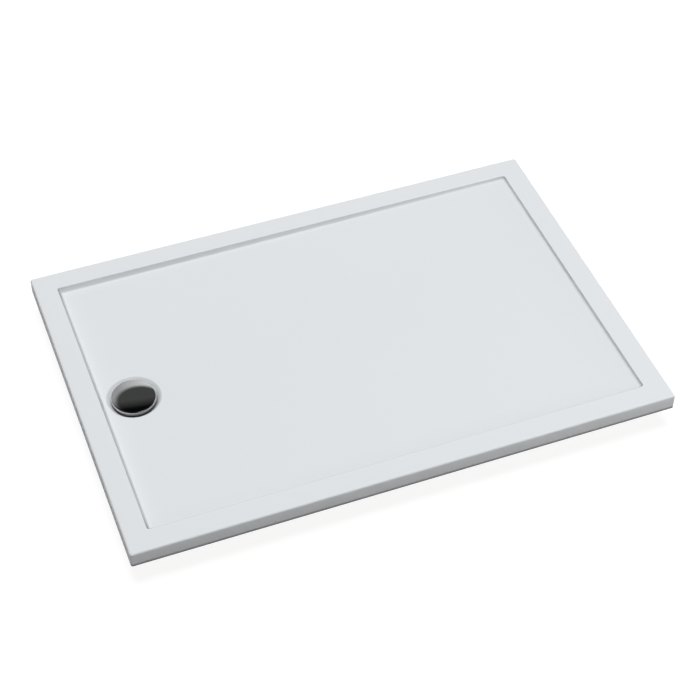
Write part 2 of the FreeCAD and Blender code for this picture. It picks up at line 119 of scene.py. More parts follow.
def softened(profile, radius, steps=3, straight=172, share=0.4):
    # rounds each corner of a closed (radius, height) loop by at most a share of its sides; corners
    # on the axis and nearly straight ones stay
    result = []
    count = len(profile)
    for index, point in enumerate(profile):
        here = Vector(point)
        before = Vector(profile[index - 1]) - here
        after = Vector(profile[(index + 1) % count]) - here
        if min(here.x, before.length, after.length) < tiny:
            result.append(tuple(here))
            continue
        turn = before.angle(after)
        if turn > math.radians(straight):
            result.append(tuple(here))
            continue
        cut = min(radius / math.tan(turn / 2), share * before.length, share * after.length)
        start = here + before.normalized() * cut
        end = here + after.normalized() * cut
        for step in range(steps + 1):
            along = step / steps
            blend = start.lerp(here, along).lerp(here.lerp(end, along), along)
            result.append(tuple(blend))
    return result


def smoothAbove(piece, degrees):
    piece.data.shade_smooth()
    piece.data.set_sharp_from_angle(angle=math.radians(degrees))


def finishPiece(piece, body, slot, material, *replaced):
    piece.data.materials.clear()
    piece.data.materials.append(material)
    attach(piece, body)
    if replaced:
        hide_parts(*replaced)
    return piece


# Material helpers

def startMaterial(name):
    material = bpy.data.materials.new(name)
    material.use_nodes = True
    tree = material.node_tree
    shader = tree.nodes["Principled BSDF"]
    coordinates = tree.nodes.new("ShaderNodeTexCoord")
    return material, tree, shader, coordinates.outputs["Object"]


def stretched(tree, coordinates, scale):
    mapping = tree.nodes.new("ShaderNodeMapping")
    mapping.inputs["Scale"].default_value = scale
    tree.links.new(coordinates, mapping.inputs["Vector"])
    return mapping.outputs["Vector"]


def addNoise(tree, coordinates, scale, detail=3.0, roughness=0.5, stretch=None):
    if stretch:
        coordinates = stretched(tree, coordinates, stretch)
    noise = tree.nodes.new("ShaderNodeTexNoise")
    noise.inputs["Scale"].default_value = scale
    noise.inputs["Detail"].default_value = detail
    noise.inputs["Roughness"].default_value = roughness
    tree.links.new(coordinates, noise.inputs["Vector"])
    return noise.outputs["Fac"]


def addRamp(tree, value, stops):
    stops = list(stops)
    ramp = tree.nodes.new("ShaderNodeValToRGB")
    elements = ramp.color_ramp.elements
    while len(elements) < len(stops):
        elements.new(0.5)
    for element, (place, colour) in zip(elements, stops):
        element.position = place
        element.color = (*colour, 1.0)
    tree.links.new(value, ramp.inputs["Fac"])
    return ramp.outputs["Color"]


def setSocket(tree, socket, value):
    # a plain number is written on the socket, anything else is linked to it
    if isinstance(value, (int, float)):
        socket.default_value = value
    else:
        tree.links.new(value, socket)


def treeMath(tree, operation, *values):
    node = tree.nodes.new("ShaderNodeMath")
    node.operation = operation
    for socket, value in zip(node.inputs, values):
        setSocket(tree, socket, value)
    return node.outputs["Value"]


def addRange(tree, value, low, high, start=0.0, end=1.0):
    # value from start to end becomes low to high
    spread = tree.nodes.new("ShaderNodeMapRange")
    ends = {"Value": value, "From Min": start, "From Max": end, "To Min": low, "To Max": high}
    for label, given in ends.items():
        setSocket(tree, spread.inputs[label], given)
    return spread.outputs["Result"]


def dressShader(tree, shader, colour, roughness):
    tree.links.new(colour, shader.inputs["Base Color"])
    setSocket(tree, shader.inputs["Roughness"], roughness)


def addBump(tree, shader, height, strength, distance):
    bump = tree.nodes.new("ShaderNodeBump")
    bump.inputs["Strength"].default_value = strength
    bump.inputs["Distance"].default_value = distance
    tree.links.new(height, bump.inputs["Height"])
    tree.links.new(bump.outputs["Normal"], shader.inputs["Normal"])


acrylicLook = {
    "shade": (0.800, 0.824, 0.842),
    # near black that the painted shade darkens the sheet towards
    "crease": (0.085, 0.088, 0.092),
    "variation": 0.006,
    "roughness": (0.50, 0.56),
    "ior": 1.49,
    "specular": 0.12,
    "cloudScale": 2.2,
    "cloudStops": (0.3, 0.7),
    "grain": (700.0, 2.0),
    "grainBump": (0.05, 0.1 * mm),
}


def acrylicMaterial(look):
    material, tree, shader, place = startMaterial("satinAcrylic")
    cloud = addNoise(tree, place, look["cloudScale"])
    darker = tuple(value - look["variation"] for value in look["shade"])
    colour = addRamp(tree, cloud, zip(look["cloudStops"], (darker, look["shade"])))
    # painted shade: a vertex attribute darkens the colour in the walls, corners, dish and low on the skirt
    crease = tree.nodes.new("ShaderNodeAttribute")
    crease.attribute_name = "crease"
    mix = tree.nodes.new("ShaderNodeMix")
    mix.data_type = "RGBA"
    tree.links.new(crease.outputs["Fac"], mix.inputs["Factor"])
    tree.links.new(colour, mix.inputs["A"])
    mix.inputs["B"].default_value = (*look["crease"], 1.0)
    dressShader(tree, shader, mix.outputs["Result"], addRange(tree, cloud, *look["roughness"]))
    shader.inputs["IOR"].default_value = look["ior"]
    shader.inputs["Specular IOR Level"].default_value = look["specular"]
    addBump(tree, shader, addNoise(tree, place, *look["grain"]), *look["grainBump"])
    return material


chromeLook = {
    "shade": (0.80, 0.81, 0.82),
    "variation": 0.97,
    "roughness": (0.025, 0.06),
    "smear": (45.0, 4.0, 0.6),
    "smearStops": (0.35, 0.65),
}


def chromeMaterial(look):
    material, tree, shader, place = startMaterial("polishedChrome")
    smear = addNoise(tree, place, *look["smear"])
    darker = tuple(value * look["variation"] for value in look["shade"])
    colour = addRamp(tree, smear, zip(look["smearStops"], (darker, look["shade"])))
    dressShader(tree, shader, colour, addRange(tree, smear, *look["roughness"]))
    shader.inputs["Metallic"].default_value = 1.0
    return material


laminateLook = {
    "shades": [(0.45, (0.62, 0.56, 0.38)), (0.68, (0.80, 0.76, 0.62))],
    "fibre": (120.0, 5.0, 0.7),
    "fibreRuns": [(1.0, 0.18, 1.0), (0.18, 1.0, 1.0)],
    "roughness": 0.42,
    "bump": (0.5, 1.2 * mm),
}


def laminateMaterial(look):
    material, tree, shader, place = startMaterial("glassLaminate")
    fibres = [addNoise(tree, place, *look["fibre"], run) for run in look["fibreRuns"]]
    weave = treeMath(tree, "MAXIMUM", *fibres)
    dressShader(tree, shader, addRamp(tree, weave, look["shades"]), look["roughness"])
    addBump(tree, shader, weave, *look["bump"])
    return material


boardLook = {
    "chips": [(0.2, (0.46, 0.34, 0.21)), (0.5, (0.60, 0.47, 0.31)), (0.8, (0.72, 0.60, 0.43))],
    "chipScale": 420.0,
    "chipStretch": (1.0, 0.45, 1.0),
    "roughness": 0.78,
    "bump": (0.35, 0.4 * mm),
}


def boardMaterial(look):
    material, tree, shader, place = startMaterial("rawChipboard")
    chips = tree.nodes.new("ShaderNodeTexVoronoi")
    chips.inputs["Scale"].default_value = look["chipScale"]
    tree.links.new(stretched(tree, place, look["chipStretch"]), chips.inputs["Vector"])
    shade = tree.nodes.new("ShaderNodeRGBToBW")
    tree.links.new(chips.outputs["Color"], shade.inputs["Color"])
    dressShader(tree, shader, addRamp(tree, shade.outputs["Val"], look["chips"]), look["roughness"])
    addBump(tree, shader, shade.outputs["Val"], *look["bump"])
    return material


timberLook = {
    "shades": [(0.3, (0.50, 0.34, 0.18)), (0.6, (0.70, 0.53, 0.32))],
    "grain": (60.0, 4.0, 0.6, (0.08, 0.08, 1.6)),
    "roughness": 0.7,
    "bump": (0.3, 0.3 * mm),
}


def timberMaterial(look):
    material, tree, shader, place = startMaterial("planedTimber")
    grain = addNoise(tree, place, *look["grain"])
    dressShader(tree, shader, addRamp(tree, grain, look["shades"]), look["roughness"])
    addBump(tree, shader, grain, *look["bump"])
    return material


zincLook = {
    "shades": [(0.3, (0.50, 0.51, 0.52)), (0.7, (0.66, 0.67, 0.68))],
    "spangleScale": 320.0,
    "roughness": (0.28, 0.46),
}


def zincMaterial(look):
    material, tree, shader, place = startMaterial("zincPlate")
    spangle = addNoise(tree, place, look["spangleScale"])
    colour = addRamp(tree, spangle, look["shades"])
    dressShader(tree, shader, colour, addRange(tree, spangle, *look["roughness"]))
    shader.inputs["Metallic"].default_value = 1.0
    return material


# what all moulded plastic and rubber share: soft clouds of colour and a fine grain
mouldedFinish = {
    "cloudScale": 30.0,
    "cloudStops": (0.3, 0.7),
    "grainDetail": 2.0,
    "grainDepth": 0.1 * mm,
}

mouldedLooks = {
    "foot_plastic": {"name": "blackMoulding", "dark": (0.018, 0.018, 0.020), "pale": (0.030, 0.030, 0.033),
                     "roughness": (0.42, 0.58), "grainScale": 1500.0, "grain": 0.25},
    "sole_rubber": {"name": "soleRubber", "dark": (0.012, 0.012, 0.012), "pale": (0.024, 0.024, 0.024),
                    "roughness": (0.75, 0.9), "grainScale": 900.0, "grain": 0.4},
    "seal_rubber": {"name": "sealRubber", "dark": (0.010, 0.010, 0.011), "pale": (0.020, 0.020, 0.021),
                    "roughness": (0.55, 0.7), "grainScale": 1200.0, "grain": 0.2},
    "trap_plastic": {"name": "whiteMoulding", "dark": (0.68, 0.69, 0.69), "pale": (0.74, 0.75, 0.75),
                     "roughness": (0.34, 0.46), "grainScale": 1400.0, "grain": 0.15},
    "insert_plastic": {"name": "greyMoulding", "dark": (0.20, 0.22, 0.24), "pale": (0.25, 0.27, 0.29),
                       "roughness": (0.36, 0.5), "grainScale": 1400.0, "grain": 0.2},
}


def mouldedMaterial(look, finish):
    material, tree, shader, place = startMaterial(look["name"])
    cloud = addNoise(tree, place, finish["cloudScale"])
    colour = addRamp(tree, cloud, zip(finish["cloudStops"], (look["dark"], look["pale"])))
    dressShader(tree, shader, colour, addRange(tree, cloud, *look["roughness"]))
    grain = addNoise(tree, place, look["grainScale"], finish["grainDetail"])
    addBump(tree, shader, grain, look["grain"], finish["grainDepth"])
    return material


materials = {
    "acrylic": acrylicMaterial(acrylicLook),
    "chrome": chromeMaterial(chromeLook),
    "laminate": laminateMaterial(laminateLook),
    "board": boardMaterial(boardLook),
    "timber": timberMaterial(timberLook),
    "zinc_steel": zincMaterial(zincLook),
}
for slotName, mouldedLook in mouldedLooks.items():
    materials[slotName] = mouldedMaterial(mouldedLook, mouldedFinish)

for row in frame["record"]["subparts"]:
    node = nodes[row["node"]]
    node.data.materials.clear()
    node.data.materials.append(materials[row["material_slot"]])
print("materials made:", len(materials))


# The white tray: one closed sheet, drawn as rings that run round it from the outer side to the
# waste hole and back along the underside

tray = {
    "sheet": 4 * mm,
    "rimWidth": 55 * mm,
    "rimMargins": (2 * mm, 5 * mm),
    "outerCorner": 5 * mm,
    "outerEdge": 4.5 * mm,
    "outerEdgeSteps": 8,
    "lowerEdge": 0.8 * mm,
    "lowerEdgeSteps": 6,
    "recessCorner": 6 * mm,
    "recessEdge": 1.5 * mm,
    "recessEdgeSteps": 4,
    "leastEdge": 0.3 * mm,
    "wallAngle": math.radians(65),
    "floorFillet": 5 * mm,
    "filletSteps": 6,
    "floorDepth": 16.5 * mm,
    "floorFall": 0.008,
    "dishRadius": 63.5 * mm,
    "seatRadius": 53 * mm,
    "dishMargin": 0.5 * mm,
    "seatDepth": 11 * mm,
    "seatEdge": 5 * mm,
    "seatEdgeSteps": 8,
    "slopeSteps": 5,
    "seatFoot": 1.2 * mm,
    "seatFootSteps": 6,
    "holeRadius": 45 * mm,
    "holeEdge": 0.5 * mm,
    # painted shade on the recess walls: a share for each ring from the rim to the floor, and the
    # depth on the right, back, left and front wall
    "wallFade": (0.0, 0.9, 1.4, 1.4, 1.3, 0.6, 0.52, 0.44, 0.36, 0.27, 0.17, 0.06),
    "wallShade": (0.20, 0.14, 0.32, 0.34),
    # painted shade, deeper near the recess corners, in the dish round the waste and low on the skirt
    "cornerShade": 0.9,
    "cornerReach": 25 * mm,
    "dishShade": ((0.5, 2.6), (1.0, 0.45)),
    "skirtFade": ((4.5 * mm, 0.62), (9 * mm, 0.12)),  # height above the lower edge, depth
    "footShade": 0.92,
    "cornerSteps": 10,
    "azimuthSteps": 288,
    "leastSteps": 6,
    "floorBands": 14,
    "bandSpread": 0.8,
    "floorInset": 63 * mm,
    "sharpAngle": 40,
}


def floorHeight(x, y):
    return rimZ - tray["floorDepth"] + tray["floorFall"] * math.hypot(x - wasteX, y)


def perimeterPlaces():
    # places along the rounded outline, as (side or corner, share), spaced by azimuth round the waste
    inset = tray["floorInset"]
    corner = tray["recessCorner"]
    flatX, flatY = halfX - inset - corner, halfY - inset - corner
    edgeX, edgeY = halfX - inset, halfY - inset
    sides = [((edgeX, -flatY), (edgeX, flatY)), ((flatX, edgeY), (-flatX, edgeY)),
             ((-edgeX, flatY), (-edgeX, -flatY)), ((-flatX, -edgeY), (flatX, -edgeY))]
    places = []
    for side, (start, end) in enumerate(sides):
        startAngle = math.atan2(start[1], start[0] - wasteX)
        sweep = (math.atan2(end[1], end[0] - wasteX) - startAngle) % (2 * math.pi)
        count = max(tray["leastSteps"], round(tray["azimuthSteps"] * sweep / (2 * math.pi)))
        for step in range(count + 1):
            angle = startAngle + sweep * step / count
            if side % 2 == 0:
                y = (start[0] - wasteX) * math.tan(angle)
                share = (y - start[1]) / (end[1] - start[1])
            else:
                x = wasteX + start[1] / math.tan(angle)
                share = (x - start[0]) / (end[0] - start[0])
            places.append(("side", side, min(max(share, 0.0), 1.0)))
        for step in range(1, tray["cornerSteps"]):
            places.append(("corner", side, step / tray["cornerSteps"]))
    return places


trayPlaces = perimeterPlaces()


def outlinePoint(place, inset, corner):
    kind, side, share = place
    spanX, spanY = halfX - inset - corner, halfY - inset - corner
    turns = [(1, -1, 1, 1), (1, 1, -1, 1), (-1, 1, -1, -1), (-1, -1, 1, -1)][side]
    if kind == "side":
        start = (turns[0] * spanX, turns[1] * spanY)
        end = (turns[2] * spanX, turns[3] * spanY)
        across = [(corner, 0), (0, corner), (-corner, 0), (0, -corner)][side]
        x = start[0] + (end[0] - start[0]) * share + across[0]
        y = start[1] + (end[1] - start[1]) * share + across[1]
        return x, y
    angle = math.radians(90) * (side + share)
    return turns[2] * spanX + corner * math.cos(angle), turns[3] * spanY + corner * math.sin(angle)


def trayRing(bm, insetOf, heightOf, corner):
    ring = []
    for place in trayPlaces:
        inset = insetOf(place) if callable(insetOf) else insetOf
        x, y = outlinePoint(place, inset, corner)
        z = heightOf(x, y) if callable(heightOf) else heightOf
        ring.append(bm.verts.new((x, y, z)))
    return ring


def roundRing(bm, radius, height):
    ring = []
    for place in trayPlaces:
        x, y = outlinePoint(place, tray["floorInset"], tray["recessCorner"])
        angle = math.atan2(y, x - wasteX)
        ring.append(bm.verts.new((wasteX + radius * math.cos(angle), radius * math.sin(angle), height)))
    return ring


def recessRings(bm, grow):
    # rim edge, sloping wall and foot fillet of the recess, grown outwards and down by grow
    angle = tray["wallAngle"]
    edge = max(tray["recessEdge"] - grow, tray["leastEdge"])
    fillet = tray["floorFillet"] + grow
    corner = tray["recessCorner"] + grow / math.sin(angle)
    topZ = rimZ - grow
    start = tray["rimWidth"] - grow * math.tan(angle / 2)
    rings = []
    for step in range(tray["recessEdgeSteps"] + 1):
        turn = angle * step / tray["recessEdgeSteps"]
        inset = start - edge * math.tan(angle / 2) + edge * math.sin(turn)
        rings.append(trayRing(bm, inset, topZ - edge + edge * math.cos(turn), corner))

    def footInset(place):
        x, y = outlinePoint(place, tray["rimWidth"], corner)
        return start + (topZ - floorHeight(x, y) + grow) / math.tan(angle)

    reach = fillet * math.tan(angle / 2)
    for step in range(tray["filletSteps"] + 1):
        turn = angle * (1 - step / tray["filletSteps"])

        def insetHere(place):
            return footInset(place) + reach - fillet * math.sin(turn)

        def heightHere(x, y):
            return floorHeight(x, y) - grow + fillet - fillet * math.cos(turn)

        rings.append(trayRing(bm, insetHere, heightHere, corner))
    return rings


def floorRings(bm, outer, radius, grow):
    # bands across the floor, from the foot of the walls to a circle round the waste
    rings = []
    for band in range(1, tray["floorBands"]):
        share = (band / tray["floorBands"]) ** tray["bandSpread"]
        ring = []
        for vertex in outer:
            angle = math.atan2(vertex.co.y, vertex.co.x - wasteX)
            target = Vector((wasteX + radius * math.cos(angle), radius * math.sin(angle), 0))
            point = vertex.co.lerp(target, share)
            ring.append(bm.verts.new((point.x, point.y, floorHeight(point.x, point.y) - grow)))
        rings.append(ring)
    return rings


def dishSection(grow):
    # the dished seat round the waste as (radius, height), from its mouth to its foot, with the
    # surface moved down into the sheet by grow
    width, depth = tray["dishRadius"] - tray["seatRadius"], tray["seatDepth"]
    slope = math.atan2(depth, width)
    floorZ = rimZ - tray["floorDepth"]
    lift = tray["floorFall"] * tray["dishRadius"] / (1 - tray["floorFall"] * width / depth)
    mouthRadius = tray["dishRadius"] + lift * width / depth + tray["seatEdge"] * math.tan(slope / 2)
    footRadius = tray["seatRadius"] - tray["seatFoot"] * math.tan(slope / 2)
    upperBend, lowerBend = tray["seatEdge"] - grow, tray["seatFoot"] + grow
    points = []
    for step in range(tray["seatEdgeSteps"] + 1):
        turn = slope * step / tray["seatEdgeSteps"]
        height = floorZ + lift - tray["seatEdge"] + upperBend * math.cos(turn)
        points.append((mouthRadius - upperBend * math.sin(turn), height))
    bend = []
    for step in range(tray["seatFootSteps"] + 1):
        turn = slope * (1 - step / tray["seatFootSteps"])
        height = floorZ - depth + tray["seatFoot"] - lowerBend * math.cos(turn)
        bend.append((footRadius + lowerBend * math.sin(turn), height))
    upper, lower = Vector(points[-1]), Vector(bend[0])
    steps = tray["slopeSteps"]
    return points + [tuple(upper.lerp(lower, step / steps)) for step in range(1, steps)] + bend


def shadeWalls(layer, rings):
    # painted shade on the recess walls and their corners: how dark each point is painted, from 0 in
    # the open to 1, read by the sheet's material
    spanX, spanY = halfX - tray["rimWidth"], halfY - tray["rimWidth"]
    shades = tray["wallShade"]
    for ring, fade in zip(rings, tray["wallFade"]):
        for vertex, (kind, side, share) in zip(ring, trayPlaces):
            after = shades[(side + 1) % 4] if kind == "corner" else shades[side]
            amount = shades[side] * (1 - share) + after * share
            away = max(0.0, spanX - abs(vertex.co.x)) + max(0.0, spanY - abs(vertex.co.y))
            near = max(0.0, 1 - away / tray["cornerReach"])
            vertex[layer] = fade * amount * (1 + tray["cornerShade"] * near)


def shadeDish(layer, rings):
    # painted shade, darker towards the foot and at the front; back and front are (depth of the shade
    # at the foot, how fast it fades towards the mouth)
    back, front = [Vector(side) for side in tray["dishShade"]]
    outermost, innermost = rings[0][0].co.x - wasteX, rings[-1][0].co.x - wasteX
    for ring in rings:
        for vertex in ring:
            out = Vector((vertex.co.x - wasteX, vertex.co.y))
            amount, fade = back.lerp(front, 0.5 - 0.5 * out.y / out.length)
            depth = (outermost - out.length) / (outermost - innermost)
            vertex[layer] = amount * min(1.0, max(0.0, depth)) ** fade


def shadeRing(layer, ring, amount):
    for vertex in ring:
        vertex[layer] = amount


def trayShell():
    bm = bmesh.new()
    # painted shade: a vertex attribute that darkens the sheet's colour, read by its material
    crease = bm.verts.layers.float.new("crease")
    sheet, corner, edge = tray["sheet"], tray["outerCorner"], tray["outerEdge"]
    lower = tray["lowerEdge"]
    rings = []
    # painted shade along the lower edge and up the skirt, darkest at the bottom
    for step in range(tray["lowerEdgeSteps"] + 1):
        turn = math.radians(90) * step / tray["lowerEdgeSteps"]
        inset = lower - lower * math.sin(turn)
        rings.append(trayRing(bm, inset, sideZ + lower - lower * math.cos(turn), corner))
        shadeRing(crease, rings[-1], tray["footShade"])
    for height, amount in tray["skirtFade"]:
        rings.append(trayRing(bm, 0.0, sideZ + height, corner))
        shadeRing(crease, rings[-1], amount)
    rings.append(trayRing(bm, 0.0, rimZ - edge, corner))
    for step in range(1, tray["outerEdgeSteps"] + 1):
        turn = math.radians(90) * step / tray["outerEdgeSteps"]
        inset = edge - edge * math.cos(turn)
        rings.append(trayRing(bm, inset, rimZ - edge + edge * math.sin(turn), corner))
    rings.append(trayRing(bm, edge + tray["rimMargins"][0], rimZ, corner))
    rings.append(trayRing(bm, tray["rimWidth"] - tray["rimMargins"][1], rimZ, tray["recessCorner"]))
    recess = recessRings(bm, 0.0)
    # painted shade on the recess walls, darker in the corners
    shadeWalls(crease, recess)
    rings += recess
    seatZ = rimZ - tray["floorDepth"] - tray["seatDepth"]
    holeRadius, holeEdge = tray["holeRadius"], tray["holeEdge"]
    innerRadius = dishSection(0.0)[0][0] + tray["dishMargin"]
    rings += floorRings(bm, rings[-1], innerRadius, 0.0)
    dish = [roundRing(bm, radius, height) for radius, height in dishSection(0.0)]
    # painted shade in the dish round the waste, darkest at its foot and at the front
    shadeDish(crease, dish)
    rings += dish
    rings.append(roundRing(bm, holeRadius + holeEdge, seatZ))
    # the edge of the waste hole painted fully dark as painted shade
    shadeRing(crease, rings[-1], 1.0)
    rings.append(roundRing(bm, holeRadius, seatZ - holeEdge))
    rings.append(roundRing(bm, holeRadius, seatZ - sheet))
    rings += [roundRing(bm, radius, height) for radius, height in reversed(dishSection(sheet))]
    under = recessRings(bm, sheet)
    rings += list(reversed(floorRings(bm, under[-1], innerRadius, sheet)))
    rings += list(reversed(under))
    rings.append(trayRing(bm, sheet, rimZ - sheet, corner))
    rings.append(trayRing(bm, sheet, sideZ, corner))
    bridgeRings(bm, rings, True)
    piece = meshObject("whiteTray", bm)
    smoothAbove(piece, tray["sharpAngle"])
    return finishPiece(piece, "tray", "acrylic", materials["acrylic"], "acrylic_shell")


whiteTray = trayShell()
print("white tray:", len(whiteTray.data.polygons), "faces")


# The chrome cover: a thin shallow dome with a rounded shoulder and an upright edge

cover = {
    "radius": (coverHigh.x - coverLow.x) / 2,
    "bottom": coverLow.z,
    "top": coverHigh.z,
    "shoulder": 3.0 * mm,
    "rise": 4.5 * mm,
    "wall": 1.3 * mm,
    "lip": 0.3 * mm,
    "domeSteps": 26,
    "shoulderSteps": 10,
    "segments": 192,
    "sharpAngle": 50,
}


def coverSection(radius, shoulder, drop):
    # dome and shoulder from the axis to the skirt, moved inwards by drop
    domeRadius = cover["domeRadius"] - drop
    centre = cover["top"] - cover["domeRadius"]
    bend = shoulder - drop
    cornerZ = centre + math.sqrt((domeRadius - bend) ** 2 - (radius - shoulder) ** 2)
    tilt = math.asin((radius - shoulder) / (domeRadius - bend))
    points = []
    for step in range(cover["domeSteps"]):
        turn = tilt * step / cover["domeSteps"]
        points.append((domeRadius * math.sin(turn), centre + domeRadius * math.cos(turn)))
    for step in range(cover["shoulderSteps"] + 1):
        turn = tilt + (math.pi / 2 - tilt) * step / cover["shoulderSteps"]
        points.append((radius - shoulder + bend * math.sin(turn), cornerZ + bend * math.cos(turn)))
    return points


def wasteCover():
    radius, rise, wall, lip = cover["radius"], cover["rise"], cover["wall"], cover["lip"]
    cover["domeRadius"] = (radius ** 2 + rise ** 2) / (2 * rise)
    outer = coverSection(radius, cover["shoulder"], 0.0)
    inner = coverSection(radius, cover["shoulder"], wall)
    skirt = [(radius, cover["bottom"] + lip), (radius - lip, cover["bottom"]),
             (radius - wall + lip, cover["bottom"]), (radius - wall, cover["bottom"] + lip)]
    profile = outer + skirt + list(reversed(inner))
    piece = latheObject("chromeCover", profile, (wasteX, 0.0), cover["segments"])
    smoothAbove(piece, cover["sharpAngle"])
    return finishPiece(piece, "cover", "chrome", materials["chrome"], "waste_cover")


chromeCover = wasteCover()
print("chrome cover:", len(chromeCover.data.polygons), "faces")

flange = {
    "radius": (flangeHigh.x - flangeLow.x) / 2,
    "top": flangeHigh.z,
    "bottom": flangeLow.z,
    "thickness": 2 * mm,
    "throat": 40 * mm,
    "tubeWall": 3.5 * mm,
    "mouthStep": 0.6 * mm,
    "ledgeDrop": 16 * mm,
    "ledgeWidth": 3 * mm,
    "ledgeThickness": 2 * mm,
    "softness": 0.8 * mm,
    "segments": 128,
    "sharpAngle": 40,
}


def wasteFlange():
    top, throat = flange["top"], flange["throat"]
    under = top - flange["thickness"]
    tubeRadius = throat + flange["tubeWall"]
    ledgeTop = top - flange["ledgeDrop"]
    ledgeLow = ledgeTop - flange["ledgeThickness"]
    inner = throat - flange["ledgeWidth"]
    mouth = throat + flange["mouthStep"]
    profile = [(throat, ledgeTop), (throat, top), (flange["radius"], top), (flange["radius"], under),
               (tubeRadius, under), (tubeRadius, flange["bottom"]), (mouth, flange["bottom"]),
               (inner, ledgeLow), (inner, ledgeTop)]
    profile = softened(profile, flange["softness"])
    piece = latheObject("wasteFlange", profile, (wasteX, 0.0), flange["segments"])
    smoothAbove(piece, flange["sharpAngle"])
    return finishPiece(piece, "tray", "chrome", materials["chrome"], "waste_flange")


wasteFlange()


# Geometry Nodes: a small tree for each form that repeats or follows a rule

def patternTree(name, inputs):
    tree = bpy.data.node_groups.new(name, "GeometryNodeTree")
    for label, kind in inputs:
        tree.interface.new_socket(label, in_out="INPUT", socket_type=kind)
    tree.interface.new_socket("Geometry", in_out="OUTPUT", socket_type="NodeSocketGeometry")
    return tree, tree.nodes.new("NodeGroupInput"), tree.nodes.new("NodeGroupOutput")


def endTree(tree, start, end, geometry):
    real = tree.nodes.new("GeometryNodeRealizeInstances")
    dressed = tree.nodes.new("GeometryNodeSetMaterial")
    tree.links.new(geometry, real.inputs["Geometry"])
    tree.links.new(real.outputs["Geometry"], dressed.inputs["Geometry"])
    tree.links.new(start.outputs["Material"], dressed.inputs["Material"])
    tree.links.new(dressed.outputs["Geometry"], end.inputs["Geometry"])
    return tree


threadFlank = {
    "slope": 3.0,
    "start": -0.25,
}


def threadTree():
    # a rod whose surface is drawn in along a helix, with both ends chamfered
    inputs = [("Radius", "NodeSocketFloat"), ("Length", "NodeSocketFloat"), ("Pitch", "NodeSocketFloat"),
              ("Depth", "NodeSocketFloat"), ("Chamfer", "NodeSocketFloat"), ("Rings", "NodeSocketInt"),
              ("Sides", "NodeSocketInt"), ("Material", "NodeSocketMaterial")]
    tree, start, end = patternTree("threadedRod", inputs)
    rod = tree.nodes.new("GeometryNodeMeshCylinder")
    links = {"Sides": "Vertices", "Rings": "Side Segments", "Radius": "Radius", "Length": "Depth"}
    for label, socket in links.items():
        tree.links.new(start.outputs[label], rod.inputs[socket])
    position = tree.nodes.new("GeometryNodeInputPosition")
    place = tree.nodes.new("ShaderNodeSeparateXYZ")
    tree.links.new(position.outputs["Position"], place.inputs["Vector"])
    turn = treeMath(tree, "ARCTAN2", place.outputs["Y"], place.outputs["X"])
    turn = treeMath(tree, "DIVIDE", turn, 2 * math.pi)
    rise = treeMath(tree, "DIVIDE", place.outputs["Z"], start.outputs["Pitch"])
    phase = treeMath(tree, "FRACT", treeMath(tree, "SUBTRACT", rise, turn))
    ridge = treeMath(tree, "ABSOLUTE", treeMath(tree, "SUBTRACT", phase, 0.5))
    flank = treeMath(tree, "MULTIPLY_ADD", ridge, threadFlank["slope"], threadFlank["start"])
    flank = treeMath(tree, "MINIMUM", treeMath(tree, "MAXIMUM", flank, 0.0), 1.0)
    groove = treeMath(tree, "MULTIPLY", flank, start.outputs["Depth"])
    half = treeMath(tree, "MULTIPLY", start.outputs["Length"], 0.5)
    toEnd = treeMath(tree, "SUBTRACT", half, treeMath(tree, "ABSOLUTE", place.outputs["Z"]))
    chamfer = treeMath(tree, "SUBTRACT", start.outputs["Chamfer"], toEnd)
    groove = treeMath(tree, "MAXIMUM", groove, chamfer)
    share = treeMath(tree, "DIVIDE", groove, start.outputs["Radius"])
    inward = treeMath(tree, "MULTIPLY", share, -1.0)
    shift = tree.nodes.new("ShaderNodeCombineXYZ")
    tree.links.new(treeMath(tree, "MULTIPLY", inward, place.outputs["X"]), shift.inputs["X"])
    tree.links.new(treeMath(tree, "MULTIPLY", inward, place.outputs["Y"]), shift.inputs["Y"])
    moved = tree.nodes.new("GeometryNodeSetPosition")
    tree.links.new(rod.outputs["Mesh"], moved.inputs["Geometry"])
    tree.links.new(shift.outputs["Vector"], moved.inputs["Offset"])
    return endTree(tree, start, end, moved.outputs["Geometry"])


def instanceOn(tree, start, points):
    source = tree.nodes.new("GeometryNodeObjectInfo")
    copies = tree.nodes.new("GeometryNodeInstanceOnPoints")
    tree.links.new(start.outputs["Piece"], source.inputs["Object"])
    tree.links.new(points, copies.inputs["Points"])
    tree.links.new(source.outputs["Geometry"], copies.inputs["Instance"])
    return copies


def ringTree():
    # copies of a piece turned evenly about the upright line through the origin
    inputs = [("Piece", "NodeSocketObject"), ("Count", "NodeSocketInt"),
              ("Material", "NodeSocketMaterial")]
    tree, start, end = patternTree("ringPattern", inputs)
    points = tree.nodes.new("GeometryNodePoints")
    tree.links.new(start.outputs["Count"], points.inputs["Count"])
    copies = instanceOn(tree, start, points.outputs["Points"])
    index = tree.nodes.new("GeometryNodeInputIndex").outputs["Index"]
    share = treeMath(tree, "DIVIDE", index, start.outputs["Count"])
    spin = tree.nodes.new("ShaderNodeCombineXYZ")
    tree.links.new(treeMath(tree, "MULTIPLY", share, 2 * math.pi), spin.inputs["Z"])
    tree.links.new(spin.outputs["Vector"], copies.inputs["Rotation"])
    return endTree(tree, start, end, copies.outputs["Instances"])


